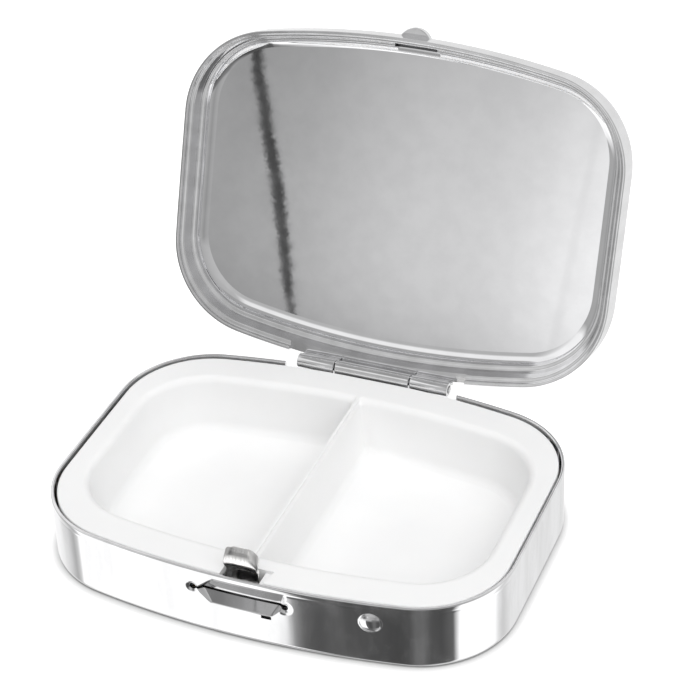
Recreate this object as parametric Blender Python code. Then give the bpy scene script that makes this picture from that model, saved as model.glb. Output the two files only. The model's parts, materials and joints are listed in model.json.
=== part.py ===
"""A pocket pill organizer: a pressed metal box with a stepped, hinged lid, a white insert tray
with two pockets and a spring catch behind the front wall.

Metres, +Z up, X along the hinge, the front towards -Y, and the origin at the middle of the
base's underside. The lid stands open on its stop.
"""

import math
from itertools import pairwise

import bmesh
import bpy
from mathutils import Vector

MM = 0.001

# Outline of the box, seen from above
BOX_WIDTH = 56.0 * MM
BOX_DEPTH = 41.0 * MM
LONG_SIDE_RADIUS = 106.5 * MM
SHORT_SIDE_RADIUS = 1500.0 * MM
CORNER_RADIUS = 11.2 * MM

# Heights, sheet and clearances
BASE_HEIGHT = 8.4 * MM
LID_HEIGHT = 6.15 * MM
SHEET = 0.4 * MM
FOOT_ROUND = 0.6 * MM
RIM_ROUND = 0.12 * MM
SEAT_GAP = 0.3 * MM

# Hinge
LID_OPEN_ANGLE = math.radians(110.0)
KNUCKLE_RADIUS = 0.9 * MM
PIN_RADIUS = 0.38 * MM
PIN_CHAMFER = 0.08 * MM
PIN_GAP = 0.12 * MM
PIN_PROUD = 0.15 * MM
CENTRE_KNUCKLE_LENGTH = 9.6 * MM
SIDE_KNUCKLE_LENGTH = 4.8 * MM
KNUCKLE_SIDE_GAP = 0.2 * MM
HINGE_SETBACK = 0.25 * MM
HINGE_DROP = 0.15 * MM
HINGE_WINDOW_MARGIN = 1.4 * MM

# Lid frame, from the hem inwards
HEM_WIDTH = 0.45 * MM
HEM_STEP_DEPTH = 0.5 * MM
HEM_STEP_WIDTH = 0.45 * MM
LEDGE_INSET = 1.3 * MM
LEDGE_WIDTH = 0.45 * MM
LEDGE_DEPTH = 2.0 * MM
FLANGE_INSET = 2.1 * MM
FLANGE_WIDTH = 1.2 * MM
FLANGE_DEPTH = 4.1 * MM
SKIRT_HEIGHT = 2.9 * MM
SHOULDER_WIDTH = 2.3 * MM
BORDER_WIDTH = 1.3 * MM
LINER_SHIFT = 0.48 * MM

# Liner plate and face plate of the lid
LINER_SHEET = 0.3 * MM
LINER_BEAD_WIDTH = 0.5 * MM
LINER_BEAD_HEIGHT = 0.25 * MM
LINER_BEAD_CORNER = 0.1 * MM
LINER_DOME = 0.06 * MM
LINER_DOME_CORNER = 1.6 * MM
FACE_SHEET = 0.5 * MM
FACE_GRIP = 0.6 * MM

# Thumb tab and catch slot at the front of the lid
TAB_WIDTH = 3.7 * MM
TAB_REACH = 1.1 * MM
TAB_THICKNESS = 1.0 * MM
TAB_HEIGHT = 2.4 * MM
TAB_ROUND = 0.2 * MM
SLOT_SIDE_GAP = 0.25 * MM
SLOT_RUN = 0.85 * MM
SLOT_RISE = 1.2 * MM

# Spring catch
CATCH_WIDTH = 4.0 * MM
CATCH_SHEET = 0.35 * MM
CATCH_INSET = 1.55 * MM
CATCH_RISE = 3.0 * MM
CATCH_FOOT = 1.9 * MM
CATCH_BEND = 0.4 * MM
CATCH_NOSE = 0.25 * MM
CATCH_HOOK = 1.8 * MM
CATCH_CORNER = 1.2 * MM
CATCH_TURN = math.radians(2.0)

# Pressed thumb dent, its slit and the round stud in the front wall
SLIT_DROP = 2.55 * MM
SLIT_LENGTH = 11.0 * MM
SLIT_HEIGHT = 0.45 * MM
RELIEF_RADIUS = 0.55 * MM
DENT_DEPTH = 0.6 * MM
DENT_RISE = 1.9 * MM
DENT_FALL = 1.65 * MM
DENT_WIDTH = 10.6 * MM
DENT_SHIFT = 0.2 * MM
DENT_TOP_WIDTH = 8.6 * MM
DENT_TOP_SHIFT = 1.4 * MM
DENT_BOTTOM_WIDTH = 7.15 * MM
DENT_BOTTOM_SHIFT = 0.35 * MM
KEYHOLE_WIDTH = 1.2 * MM
KEYHOLE_HEIGHT = 0.4 * MM
KEYHOLE_OFFSET = 3.3 * MM
STUD_RADIUS = 1.25 * MM
STUD_DEPTH = 0.3 * MM
STUD_OFFSET = 15.2 * MM
STUD_DROP = 2.6 * MM

# Insert tray
TRAY_WALL = 0.8 * MM
TRAY_DROP = 0.2 * MM
TRAY_EDGE_ROUND = 0.15 * MM
POCKET_FIELD_WIDTH = 48.6 * MM
POCKET_FIELD_DEPTH = 30.6 * MM
POCKET_CORNER_RADIUS = 8.0 * MM
POCKET_DRAFT = 1.0 * MM
POCKET_FLOOR_ROUND = 0.9 * MM
POCKET_MOUTH_ROUND = 0.35 * MM
DIVIDER_WIDTH = 0.9 * MM
DIVIDER_CORNER = 0.5 * MM
NOTCH_STEP_REACH = 3.3 * MM
NOTCH_STEP_TAPER = 0.8 * MM
NOTCH_STEP_DEPTH = 0.4 * MM
NOTCH_SKIRT = 1.6 * MM

# Points along each quarter of an outline, round a full circle and round a small bend
END_STEPS = 2
CORNER_STEPS = 8
SIDE_STEPS = 5
ROUND_STEPS = 24
BEND_STEPS = 4

HINGE_AXIS = Vector((0, BOX_DEPTH / 2 + HINGE_SETBACK, BASE_HEIGHT - HINGE_DROP))
HINGE_REACH = CENTRE_KNUCKLE_LENGTH / 2 + KNUCKLE_SIDE_GAP + SIDE_KNUCKLE_LENGTH
HEM_Z = BASE_HEIGHT + SEAT_GAP
CATCH_Y = -BOX_DEPTH / 2 + CATCH_INSET
CATCH_AXIS = Vector((0, CATCH_Y + CATCH_SHEET / 2, SHEET + SEAT_GAP + CATCH_SHEET / 2))
CATCH_TOP = BASE_HEIGHT + CATCH_RISE
CATCH_TRAVEL = (CATCH_TOP - CATCH_AXIS.z) * math.sin(CATCH_TURN)
NOTCH_BACK = CATCH_Y + CATCH_SHEET + CATCH_TRAVEL + 2 * SEAT_GAP
NOTCH_HALF = CATCH_WIDTH / 2 + SEAT_GAP
SLIT_Z = BASE_HEIGHT - SLIT_DROP
OVERCUT = 2.0 * MM


def clear_scene():
    for obj in list(bpy.data.objects):
        bpy.data.objects.remove(obj, do_unlink=True)


def material(name, colour, metallic, roughness):
    made = bpy.data.materials.new(name)
    made.use_nodes = True
    shader = made.node_tree.nodes["Principled BSDF"]
    shader.inputs["Base Color"].default_value = (*colour, 1.0)
    shader.inputs["Metallic"].default_value = metallic
    shader.inputs["Roughness"].default_value = roughness
    return made


# Outlines and sections


class Plan:
    """A rounded outline: bowed long sides, almost straight ends, and corners tangent to both."""

    def __init__(self, width, depth, corner_radius):
        self.corner_radius = corner_radius
        self.side_centre = Vector((0, depth / 2 - LONG_SIDE_RADIUS))
        self.end_centre = Vector((width / 2 - SHORT_SIDE_RADIUS, 0))
        side_reach = LONG_SIDE_RADIUS - corner_radius
        end_reach = SHORT_SIDE_RADIUS - corner_radius
        between = self.end_centre - self.side_centre
        along = (side_reach**2 - end_reach**2 + between.length_squared) / (2 * between.length)
        across = math.sqrt(side_reach**2 - along**2)
        step = between.normalized()
        self.corner_centre = self.side_centre + step * along + Vector((step.y, -step.x)) * across

    def quarter(self, inset, stop_turn=math.pi / 2):
        """Points from the right-hand end (+X) along the back, as far as the side arc's stop_turn."""
        to_end = self.corner_centre - self.end_centre
        to_side = self.corner_centre - self.side_centre
        end_turn = math.atan2(to_end.y, to_end.x)
        side_turn = math.atan2(to_side.y, to_side.x)
        side_radius = LONG_SIDE_RADIUS - inset
        arcs = (
            (self.end_centre, SHORT_SIDE_RADIUS - inset, 0.0, end_turn, END_STEPS),
            (self.corner_centre, self.corner_radius - inset, end_turn, side_turn, CORNER_STEPS),
            (self.side_centre, side_radius, side_turn, stop_turn, SIDE_STEPS),
        )
        points = []
        for centre, radius, start, end, steps in arcs:
            points += arc(centre, radius, start, end, steps)[:-1]
        points.append(arc_point(self.side_centre, side_radius, stop_turn))
        return points

    def ring(self, inset, z, shift=0.0):
        """The whole outline, moved in by inset and along Y by shift, at height z."""
        right_back = self.quarter(inset)
        left_back = [Vector((-p.x, p.y)) for p in reversed(right_back[:-1])]
        back = right_back + left_back
        front = [Vector((p.x, -p.y)) for p in reversed(back[1:-1])]
        return [Vector((p.x, p.y + shift, z)) for p in back + front]


def arc_point(centre, radius, angle):
    return Vector(centre) + radius * Vector((math.cos(angle), math.sin(angle)))


def arc(centre, radius, start, end, steps):
    """Points along an arc, with both its ends."""
    return [arc_point(centre, radius, start + (end - start) * step / steps) for step in range(steps + 1)]


def circle(radius, x, axis):
    """Points round a circle about a line along X."""
    turns = arc((axis.y, axis.z), radius, 0.0, 2 * math.pi, ROUND_STEPS)[:-1]
    return [Vector((x, p.x, p.y)) for p in turns]


def offset_path(path, distance):
    """The path moved to its left by a distance, with mitred corners."""
    points = [Vector(point) for point in path]
    runs = [(after - before).normalized() for before, after in pairwise(points)]
    moved = []
    for point, before, after in zip(points, runs[:1] + runs, runs + runs[-1:]):
        mitre = (before + after).normalized()
        left = Vector((-mitre.y, mitre.x))
        moved.append(point + left * distance / mitre.dot(before))
    return moved


# Solids


def loft(name, rings, closed=False, origin=None):
    """A solid skinned over rings that have as many points each, capped unless it closes on itself."""
    origin = origin or Vector((0, 0, 0))
    bm = bmesh.new()
    loops = [[bm.verts.new(point - origin) for point in ring] for ring in rings]
    for lower, upper in pairwise(loops + loops[:1] if closed else loops):
        count = len(lower)
        for i in range(count):
            j = (i + 1) % count
            bm.faces.new((lower[i], lower[j], upper[j], upper[i]))
    if not closed:
        bm.faces.new(loops[0])
        bm.faces.new(loops[-1])
    return finish(name, bm, origin)


def finish(name, bm, origin, sharp_angle=30.0):
    bmesh.ops.recalc_face_normals(bm, faces=bm.faces)
    mesh = bpy.data.meshes.new(name)
    bm.to_mesh(mesh)
    bm.free()
    mesh.shade_smooth()
    mesh.set_sharp_from_angle(angle=math.radians(sharp_angle))
    made = bpy.data.objects.new(name, mesh)
    made.location = origin
    bpy.context.scene.collection.objects.link(made)
    return made


def block(name, low, high, origin=None):
    """A box between two corners."""
    corners = ((low.x, low.y), (high.x, low.y), (high.x, high.y), (low.x, high.y))
    rings = [[Vector((x, y, z)) for x, y in corners] for z in (low.z, high.z)]
    return loft(name, rings, origin=origin)


def tube(name, start, end, axis, outer, inner, origin=None):
    """A knuckle: a tube along X."""
    ends = ((outer, start), (outer, end), (inner, end), (inner, start))
    rings = [circle(radius, x, axis) for radius, x in ends]
    return loft(name, rings, closed=True, origin=origin)


def carve(target, tool, operation="DIFFERENCE"):
    """Cuts a hidden tool from the target, or joins it on."""
    modifier = target.modifiers.new(tool.name, "BOOLEAN")
    modifier.operation = operation
    modifier.object = tool
    modifier.show_render = modifier.show_viewport
    tool.hide_render = True
    tool.display_type = "WIRE"
    tool.parent = target.parent
    if target.parent:
        tool.location = target.location


def join(target, tool):
    carve(target, tool, "UNION")


def pivot(name, location, turn=0.0):
    empty = bpy.data.objects.new(name, None)
    empty.location = location
    empty.rotation_euler.x = turn
    bpy.context.scene.collection.objects.link(empty)
    return empty


def hang(obj, empty):
    """Parents a piece whose mesh is built about the pivot's own place."""
    obj.parent = empty
    obj.location = (0, 0, 0)


def front_y(x):
    """Y of the outer face of the bowed front wall."""
    return LONG_SIDE_RADIUS - BOX_DEPTH / 2 - math.sqrt(LONG_SIDE_RADIUS**2 - x**2)


# Base pan


def base_pan(chrome):
    plan = Plan(BOX_WIDTH, BOX_DEPTH, CORNER_RADIUS)
    foot = arc((FOOT_ROUND, FOOT_ROUND), FOOT_ROUND, -math.pi / 2, -math.pi, BEND_STEPS)
    wall = [
        (0.0, BASE_HEIGHT - RIM_ROUND),
        (RIM_ROUND, BASE_HEIGHT),
        (SHEET - RIM_ROUND, BASE_HEIGHT),
        (SHEET, BASE_HEIGHT - RIM_ROUND),
    ]
    inner_foot = offset_path([*foot, wall[0]], -SHEET)[:-1]
    profile = [*foot, *wall, *reversed(inner_foot)]
    pan = loft("base_pan", [plan.ring(inset, z) for inset, z in profile])
    pan.data.materials.append(chrome)
    press_dent(pan)
    press_stud(pan)
    roll_centre_knuckle(pan)
    return pan


def press_dent(pan):
    """The thumb dent: the wall is pressed in towards a slit that ends in two relief holes."""
    wall = -BOX_DEPTH / 2
    join(pan, dent_wedge("dent_back", wall + SHEET / 2, wall + SHEET + DENT_DEPTH, SHEET / 2))
    carve(pan, dent_wedge("dent_face", wall - RIM_ROUND, wall + DENT_DEPTH, 0.0))
    outside = wall - OVERCUT
    inside = wall + SHEET + DENT_DEPTH + OVERCUT
    half = SLIT_LENGTH / 2
    low = Vector((-half, outside, SLIT_Z - SLIT_HEIGHT / 2))
    high = Vector((half, inside, SLIT_Z + SLIT_HEIGHT / 2))
    carve(pan, block("slit", low, high))
    for name, x in (("relief_hole_left", -half), ("relief_hole_right", half)):
        outline = arc((x, SLIT_Z), RELIEF_RADIUS, 0.0, 2 * math.pi, ROUND_STEPS)[:-1]
        carve(pan, loft(name, [[Vector((p.x, y, p.y)) for p in outline] for y in (outside, inside)]))
    centre_z = SLIT_Z - DENT_FALL - KEYHOLE_HEIGHT
    low = Vector((KEYHOLE_OFFSET - KEYHOLE_WIDTH / 2, outside, centre_z - KEYHOLE_HEIGHT / 2))
    high = Vector((KEYHOLE_OFFSET + KEYHOLE_WIDTH / 2, inside, centre_z + KEYHOLE_HEIGHT / 2))
    carve(pan, block("keyhole", low, high))


def dent_wedge(name, face_y, crease_y, grow):
    """A hipped wedge that narrows from its footprint on the wall to the crease at the slit."""
    levels = (
        (DENT_TOP_WIDTH / 2 + grow, DENT_TOP_SHIFT, SLIT_Z + DENT_RISE),
        (DENT_WIDTH / 2 + grow, DENT_SHIFT, SLIT_Z),
        (DENT_BOTTOM_WIDTH / 2 + grow, DENT_BOTTOM_SHIFT, SLIT_Z - DENT_FALL - grow),
    )
    corners = [(shift - half, z) for half, shift, z in levels]
    corners += [(shift + half, z) for half, shift, z in reversed(levels)]
    bm = bmesh.new()
    rim = [bm.verts.new((x, face_y, z)) for x, z in corners]
    ends = (corners[1][0] + DENT_DEPTH, corners[4][0] - DENT_DEPTH)
    left, right = (bm.verts.new((x, crease_y, SLIT_Z)) for x in ends)
    bm.faces.new(rim)
    bm.faces.new((rim[0], rim[1], left))
    bm.faces.new((rim[1], rim[2], left))
    bm.faces.new((rim[2], rim[3], right, left))
    bm.faces.new((rim[3], rim[4], right))
    bm.faces.new((rim[4], rim[5], right))
    bm.faces.new((rim[5], rim[0], left, right))
    return finish(name, bm, Vector((0, 0, 0)))


def press_stud(pan):
    """A round stud pressed out of the wall: proud outside, and hollow by as much inside."""
    x = STUD_OFFSET
    for name, inwards, work in (("bump", 0.0, join), ("hollow", SHEET, carve)):
        bm = bmesh.new()
        bmesh.ops.create_uvsphere(bm, u_segments=ROUND_STEPS, v_segments=8, radius=STUD_RADIUS)
        bmesh.ops.scale(bm, vec=(1, STUD_DEPTH / STUD_RADIUS, 1), verts=bm.verts)
        tool = finish(f"stud_{name}", bm, Vector((0, 0, 0)))
        tool.location = (x, front_y(x) + inwards, BASE_HEIGHT - STUD_DROP)
        tool.rotation_euler.z = math.asin(x / LONG_SIDE_RADIUS)
        work(pan, tool)


def roll_centre_knuckle(pan):
    """Cuts the rear rim down for the hinge and rolls the middle knuckle from the wall."""
    wall = BOX_DEPTH / 2
    window = HINGE_REACH + HINGE_WINDOW_MARGIN
    sill = HINGE_AXIS.z - KNUCKLE_RADIUS - SEAT_GAP
    low = Vector((-window, wall - SHEET - OVERCUT, sill))
    carve(pan, block("hinge_window", low, Vector((window, wall + OVERCUT, BASE_HEIGHT + OVERCUT))))
    half = CENTRE_KNUCKLE_LENGTH / 2
    bore = PIN_RADIUS + PIN_GAP
    meet = HINGE_AXIS.z - (KNUCKLE_RADIUS + bore) / 2
    low = Vector((-half, wall - SHEET, sill - SHEET))
    join(pan, block("knuckle_strip", low, Vector((half, wall, meet))))
    join(pan, tube("centre_knuckle", -half, half, HINGE_AXIS, KNUCKLE_RADIUS, bore))


# Hinge pin


def hinge_pin(steel):
    reach = HINGE_REACH + PIN_PROUD
    ends = (
        (PIN_RADIUS - PIN_CHAMFER, -reach),
        (PIN_RADIUS, -reach + PIN_CHAMFER),
        (PIN_RADIUS, reach - PIN_CHAMFER),
        (PIN_RADIUS - PIN_CHAMFER, reach),
    )
    pin = loft("hinge_pin", [circle(radius, x, HINGE_AXIS) for radius, x in ends], origin=HINGE_AXIS)
    pin.data.materials.append(steel)
    return pin


# Insert tray


def insert_tray(plastic):
    outer = Plan(BOX_WIDTH, BOX_DEPTH, CORNER_RADIUS)
    field = Plan(POCKET_FIELD_WIDTH, POCKET_FIELD_DEPTH, POCKET_CORNER_RADIUS)
    top = BASE_HEIGHT - TRAY_DROP
    bottom = SHEET + SEAT_GAP
    edge = SHEET + SEAT_GAP
    underside = top - TRAY_WALL
    tub = pocket_wall(bottom, underside, POCKET_FLOOR_ROUND + TRAY_WALL)
    rings = [field.ring(inset - TRAY_WALL, z) for inset, z in tub]
    rings.append(outer.ring(edge, underside))
    rings.append(outer.ring(edge, top - TRAY_EDGE_ROUND))
    rings.append(outer.ring(edge + TRAY_EDGE_ROUND, top))
    tray = loft("insert_tray", rings)
    tray.data.materials.append(plastic)
    for side, name in ((-1, "left"), (1, "right")):
        carve(tray, pocket(f"pocket_{name}", side, bottom + TRAY_WALL, top))
    join(tray, notch_wall(underside))
    outside = -BOX_DEPTH / 2 + edge - OVERCUT
    low = Vector((-NOTCH_HALF, outside, bottom))
    carve(tray, block("catch_notch", low, Vector((NOTCH_HALF, NOTCH_BACK, top + OVERCUT))))
    carve(tray, notch_step(outside, top))
    window = HINGE_REACH + HINGE_WINDOW_MARGIN
    relief = HINGE_AXIS.y - KNUCKLE_RADIUS - SEAT_GAP
    low = Vector((-window, relief, bottom))
    carve(tray, block("hinge_relief", low, Vector((window, relief + OVERCUT, top + OVERCUT))))
    return tray


def pocket_wall(floor, top, floor_round):
    """Inset and height pairs up a drafted wall with a round foot."""
    points = []
    for step in range(BEND_STEPS + 1):
        turn = math.pi / 2 * step / BEND_STEPS
        rise = floor_round * (1 - math.cos(turn))
        lean = POCKET_DRAFT * (1 - rise / (top - floor))
        points.append((floor_round * (1 - math.sin(turn)) + lean, floor + rise))
    points.append((0.0, top))
    return points


def pocket(name, side, floor, top):
    """The cutter for one pocket: drafted walls, a round floor edge and a softened mouth."""
    field = Plan(POCKET_FIELD_WIDTH, POCKET_FIELD_DEPTH, POCKET_CORNER_RADIUS)
    levels = pocket_wall(floor, top - POCKET_MOUTH_ROUND, POCKET_FLOOR_ROUND)
    mouth = arc((-POCKET_MOUTH_ROUND, top - POCKET_MOUTH_ROUND), POCKET_MOUTH_ROUND, 0, math.pi / 2, BEND_STEPS)
    levels += [(p.x, p.y) for p in mouth[1:]]
    levels.append((-POCKET_MOUTH_ROUND, top + OVERCUT))
    return loft(name, [pocket_ring(field, inset, z, side) for inset, z in levels])


def pocket_ring(field, inset, z, side):
    """One level of a pocket: the field's outline on the outer side, two small corners inside."""
    inner = DIVIDER_WIDTH / 2 + inset
    corner_x = inner + DIVIDER_CORNER
    back = field.quarter(inset, math.acos(corner_x / (LONG_SIDE_RADIUS - inset)))
    corner = back[-1] - Vector((0, DIVIDER_CORNER))
    back += arc(corner, DIVIDER_CORNER, math.pi / 2, math.pi, BEND_STEPS)[1:]
    front = [Vector((p.x, -p.y)) for p in reversed(back[1:])]
    return [Vector((side * p.x, p.y, z)) for p in back + front]


def notch_wall(underside):
    """The short wall that closes the back of the notch under the flange."""
    half = NOTCH_HALF + TRAY_WALL
    low = Vector((-half, NOTCH_BACK - SEAT_GAP, underside - NOTCH_SKIRT))
    tub = -(POCKET_FIELD_DEPTH / 2 + TRAY_WALL / 4)
    return block("notch_wall", low, Vector((half, tub, underside + TRAY_WALL / 2)))


def notch_step(outside, top):
    """The shallow step to the right of the notch, narrower towards the rim."""
    reach = NOTCH_STEP_REACH
    corners = ((0.0, outside), (reach - NOTCH_STEP_TAPER, outside), (reach, NOTCH_BACK), (0.0, NOTCH_BACK))
    levels = (top - NOTCH_STEP_DEPTH, top + OVERCUT)
    return loft("notch_step", [[Vector((x, y, z)) for x, y in corners] for z in levels])


# Spring catch


def catch_spring(steel, empty):
    """A bent strip of spring sheet: a foot, a tall leg and a hooked, round-cornered tongue."""
    leg = CATCH_AXIS.y
    bend = arc((leg + CATCH_BEND, CATCH_AXIS.z + CATCH_BEND), CATCH_BEND, -math.pi / 2, -math.pi, BEND_STEPS)
    path = [Vector((leg + CATCH_FOOT, CATCH_AXIS.z)), *bend]
    for step in range(2 * BEND_STEPS + 1):
        share = step / (2 * BEND_STEPS)
        forward = CATCH_NOSE * math.sin(math.pi * share) ** 2
        path.append(Vector((leg - forward, CATCH_TOP - CATCH_HOOK * (1 - share))))
    section = offset_path(path, CATCH_SHEET / 2) + offset_path(path, -CATCH_SHEET / 2)[::-1]
    half = CATCH_WIDTH / 2
    rings = [[Vector((x, p.x, p.y)) for p in section] for x in (-half, half)]
    catch = loft("catch_spring", rings, origin=CATCH_AXIS)
    catch.data.materials.append(steel)
    hang(catch, empty)
    for side, name in ((-1, "left"), (1, "right")):
        carve(catch, tongue_corner(f"tongue_corner_{name}", side))
    return catch


def tongue_corner(name, side):
    """Takes the square corner off the tongue, leaving a round one."""
    half = CATCH_WIDTH / 2
    centre = Vector((half - CATCH_CORNER, CATCH_TOP - CATCH_CORNER))
    outline = arc(centre, CATCH_CORNER, 0, math.pi / 2, CORNER_STEPS)
    outline.append(Vector((centre.x, CATCH_TOP + OVERCUT)))
    outline.append(Vector((half + OVERCUT, CATCH_TOP + OVERCUT)))
    outline.append(Vector((half + OVERCUT, centre.y)))
    faces = (CATCH_Y - OVERCUT, CATCH_Y + CATCH_SHEET + OVERCUT)
    rings = [[Vector((side * p.x, y, p.y)) for p in outline] for y in faces]
    return loft(name, rings, origin=CATCH_AXIS)


# Lid, modelled closed about the hinge axis and opened by its pivot


def inner_shift(inset):
    """How far an inner ring of the lid sits towards the front, which widens its rear border."""
    share = (inset - HEM_WIDTH) / (FLANGE_INSET - HEM_WIDTH)
    return -LINER_SHIFT * min(max(share, 0.0), 1.0)


def lid_section():
    """Inset, height over the hem and shift of each ring round the frame's rolled section."""
    shoulder = []
    for step in range(2 * BEND_STEPS + 1):
        turn = math.pi / 2 * step / (2 * BEND_STEPS)
        rise = (LID_HEIGHT - SKIRT_HEIGHT) * math.sin(turn)
        shoulder.append((SHOULDER_WIDTH * (1 - math.cos(turn)), SKIRT_HEIGHT + rise))
    shell = [(0.0, RIM_ROUND), *shoulder, (SHOULDER_WIDTH + BORDER_WIDTH, LID_HEIGHT)]
    lining = [
        (HEM_WIDTH, HEM_STEP_DEPTH),
        (HEM_WIDTH + HEM_STEP_WIDTH, HEM_STEP_DEPTH),
        (LEDGE_INSET, LEDGE_DEPTH),
        (LEDGE_INSET + LEDGE_WIDTH, LEDGE_DEPTH),
        (FLANGE_INSET, FLANGE_DEPTH),
        (FLANGE_INSET + FLANGE_WIDTH, FLANGE_DEPTH),
    ]
    hem = [(HEM_WIDTH, RIM_ROUND), (HEM_WIDTH - RIM_ROUND, 0.0), (RIM_ROUND, 0.0)]
    outside = [*shell, *reversed(offset_path(shell, -SHEET)[1:]), (SHEET, HEM_STEP_DEPTH + SHEET)]
    inside = [*offset_path(lining, SHEET)[1:], *reversed(lining), *hem]
    rings = [(inset, height, 0.0) for inset, height in outside]
    rings += [(inset, height, inner_shift(inset)) for inset, height in inside]
    return rings


def lid_frame(chrome, empty):
    plan = Plan(BOX_WIDTH, BOX_DEPTH, CORNER_RADIUS)
    rings = [plan.ring(inset, HEM_Z + height, shift) for inset, height, shift in lid_section()]
    frame = loft("lid_frame", rings, closed=True, origin=HINGE_AXIS)
    frame.data.materials.append(chrome)
    hang(frame, empty)
    join(frame, thumb_tab())
    carve(frame, catch_slot())
    roll_side_knuckles(frame)
    return frame


def thumb_tab():
    """A half-round tab on the outside of the front wall, its edges softened."""
    half = TAB_WIDTH / 2
    radius = (half**2 + TAB_REACH**2) / (2 * TAB_REACH)
    centre = (0, -BOX_DEPTH / 2 - TAB_REACH + radius)
    spread = math.asin(half / radius)
    root = -BOX_DEPTH / 2 + SHEET / 2
    levels = ((TAB_ROUND, 0.0), (0.0, TAB_ROUND), (0.0, TAB_THICKNESS - TAB_ROUND), (TAB_ROUND, TAB_THICKNESS))
    rings = []
    for trim, rise in levels:
        edge = arc(centre, radius - trim, -math.pi / 2 - spread, -math.pi / 2 + spread, CORNER_STEPS)
        points = [*edge, Vector((edge[-1].x, root)), Vector((edge[0].x, root))]
        rings.append([Vector((p.x, p.y, HEM_Z + TAB_HEIGHT + rise)) for p in points])
    return loft("thumb_tab", rings, origin=HINGE_AXIS)


def catch_slot():
    """The slot up from the ledge that takes the tongue of the catch; it runs on to the right."""
    half = CATCH_WIDTH / 2 + SLOT_SIDE_GAP
    front = -BOX_DEPTH / 2 + LEDGE_INSET + inner_shift(LEDGE_INSET) - RIM_ROUND
    back = CATCH_Y + CATCH_SHEET + CATCH_TRAVEL + SEAT_GAP
    ledge = HEM_Z + LEDGE_DEPTH
    low = Vector((-half, front, ledge - SHEET))
    return block("catch_slot", low, Vector((half + SLOT_RUN, back, ledge + SLOT_RISE)), origin=HINGE_AXIS)


def roll_side_knuckles(frame):
    """Cuts the rear skirt away over the hinge and rolls the two side knuckles from it."""
    wall = BOX_DEPTH / 2
    window = HINGE_REACH + HINGE_WINDOW_MARGIN + SEAT_GAP
    lintel = HINGE_AXIS.z + KNUCKLE_RADIUS + SEAT_GAP
    low = Vector((-window, wall - FLANGE_INSET, HEM_Z - OVERCUT))
    high = Vector((window, wall + OVERCUT, lintel))
    carve(frame, block("lid_hinge_window", low, high, origin=HINGE_AXIS))
    inner = CENTRE_KNUCKLE_LENGTH / 2 + KNUCKLE_SIDE_GAP
    bore = PIN_RADIUS + PIN_GAP
    meet = HINGE_AXIS.z + (KNUCKLE_RADIUS + bore) / 2
    for side, name in ((-1, "left"), (1, "right")):
        start, end = sorted((side * inner, side * HINGE_REACH))
        low = Vector((start, wall - SHEET, meet))
        high = Vector((end, wall, lintel + SHEET))
        join(frame, block(f"knuckle_tab_{name}", low, high, origin=HINGE_AXIS))
        join(frame, tube(f"lid_knuckle_{name}", start, end, HINGE_AXIS, KNUCKLE_RADIUS, bore, origin=HINGE_AXIS))


def liner_plate(mirror, empty):
    """The sheet that lines the lid: a slightly domed panel with a raised bead round its edge."""
    plan = Plan(BOX_WIDTH, BOX_DEPTH, CORNER_RADIUS)
    edge = FLANGE_INSET + SEAT_GAP
    bead_end = edge + LINER_BEAD_WIDTH
    base = FLANGE_DEPTH - SEAT_GAP - LINER_SHEET
    low = base - LINER_BEAD_HEIGHT
    seen = [
        (edge, base),
        (edge, low + LINER_BEAD_CORNER),
        (edge + LINER_BEAD_CORNER, low),
        (bead_end - LINER_BEAD_CORNER, low),
        (bead_end, low + LINER_BEAD_CORNER),
        (bead_end + LINER_BEAD_CORNER, base),
    ]
    dome_start = bead_end + LINER_BEAD_CORNER
    dome_end = CORNER_RADIUS - LINER_DOME_CORNER
    for step in range(1, BEND_STEPS + 1):
        share = step / BEND_STEPS
        sag = LINER_DOME * math.sin(math.pi / 2 * share)
        seen.append((dome_start + (dome_end - dome_start) * share, base - sag))
    hidden = [(inset, height + LINER_SHEET) for inset, height in seen[-BEND_STEPS - 1 :]]
    hidden.insert(0, (edge, base + LINER_SHEET))
    shift = inner_shift(FLANGE_INSET)
    rings = [plan.ring(inset, HEM_Z + height, shift) for inset, height in [*reversed(hidden), *seen]]
    liner = loft("liner_plate", rings, origin=HINGE_AXIS)
    liner.data.materials.append(mirror)
    hang(liner, empty)
    return liner


def face_plate(satin, empty):
    """The plain panel set in the top of the lid, held under the frame's border."""
    plan = Plan(BOX_WIDTH, BOX_DEPTH, CORNER_RADIUS)
    edge = SHOULDER_WIDTH + BORDER_WIDTH - FACE_GRIP
    top = HEM_Z + LID_HEIGHT - SHEET - SEAT_GAP
    plate = loft("face_plate", [plan.ring(edge, z) for z in (top - FACE_SHEET, top)], origin=HINGE_AXIS)
    plate.data.materials.append(satin)
    hang(plate, empty)
    return plate


def main():
    clear_scene()
    chrome = material("chromed_steel", (0.80, 0.80, 0.81), 1.0, 0.12)
    mirror = material("polished_liner", (0.76, 0.76, 0.77), 1.0, 0.16)
    spring = material("spring_steel", (0.62, 0.61, 0.60), 1.0, 0.22)
    satin = material("satin_plate", (0.72, 0.72, 0.73), 1.0, 0.30)
    plastic = material("white_plastic", (0.93, 0.93, 0.93), 0.0, 0.35)
    lid_pivot = pivot("lid_pivot", HINGE_AXIS, -LID_OPEN_ANGLE)
    catch_pivot = pivot("catch_pivot", CATCH_AXIS)
    base_pan(chrome)
    hinge_pin(spring)
    insert_tray(plastic)
    catch_spring(spring, catch_pivot)
    lid_frame(chrome, lid_pivot)
    liner_plate(mirror, lid_pivot)
    face_plate(satin, lid_pivot)


main()
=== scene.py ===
import json
import math

import bmesh
import bpy
from mathutils import Matrix, Vector


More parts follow.
